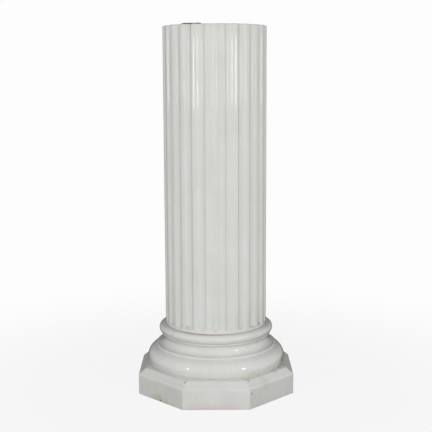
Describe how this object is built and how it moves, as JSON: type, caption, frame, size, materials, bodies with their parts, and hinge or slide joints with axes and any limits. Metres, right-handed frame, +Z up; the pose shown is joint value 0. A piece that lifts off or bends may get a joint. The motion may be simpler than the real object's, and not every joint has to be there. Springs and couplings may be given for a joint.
{
  "type": "fluted pedestal column",
  "caption": "Free-standing white glazed ceramic column: a hollow fluted shaft with no capital, standing on a moulded base with an octagonal plinth.",
  "frame": {"origin": "centre of the plinth's underside, on the floor", "axes": "+Z up the shaft's axis, -Y out of the plinth face that the picture shows in front"},
  "size_m": [0.385, 0.385, 0.9027],
  "materials": {
    "white_glaze": "glossy warm white glaze over pale clay, crazed and a little dirty in the grooves"
  },
  "bodies": {
    "root": {"moulded_base": "white_glaze", "fluted_shaft": "white_glaze"}
  },
  "joints": []
}
